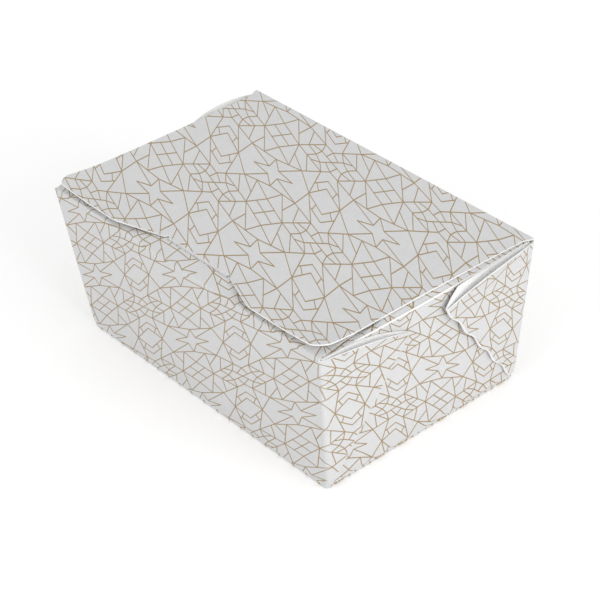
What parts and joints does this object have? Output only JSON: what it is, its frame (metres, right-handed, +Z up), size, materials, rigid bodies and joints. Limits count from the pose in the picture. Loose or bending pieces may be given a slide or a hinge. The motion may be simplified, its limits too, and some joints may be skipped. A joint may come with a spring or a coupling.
{
  "type": "ballotin box",
  "caption": "Folded card chocolate box: tapered tray, pleated corner webs, tucked-in inner flaps and a hinged lid flap whose tongue slots into the front flap.",
  "frame": {"origin": "centre of the base's underside, on the table", "axes": "+X along the length of the box, -Y towards the front with the tongue, +Y towards the fold that the lid turns on, +Z up"},
  "size_m": [0.1556, 0.096, 0.0643],
  "materials": {
    "printed_board": "matt white folding board, outside printed with fine tan lines, white inside"
  },
  "bodies": {
    "carton": {"carton_body": "printed_board"},
    "lid": {"lid_flap": "printed_board"}
  },
  "joints": [
    {"name": "lid_fold", "type": "hinge", "parent": "carton", "child": "lid", "pos_m": [0, 0.04777, 0.06112], "axis": [-1, 0, 0], "range_deg": [0, 180]}
  ]
}
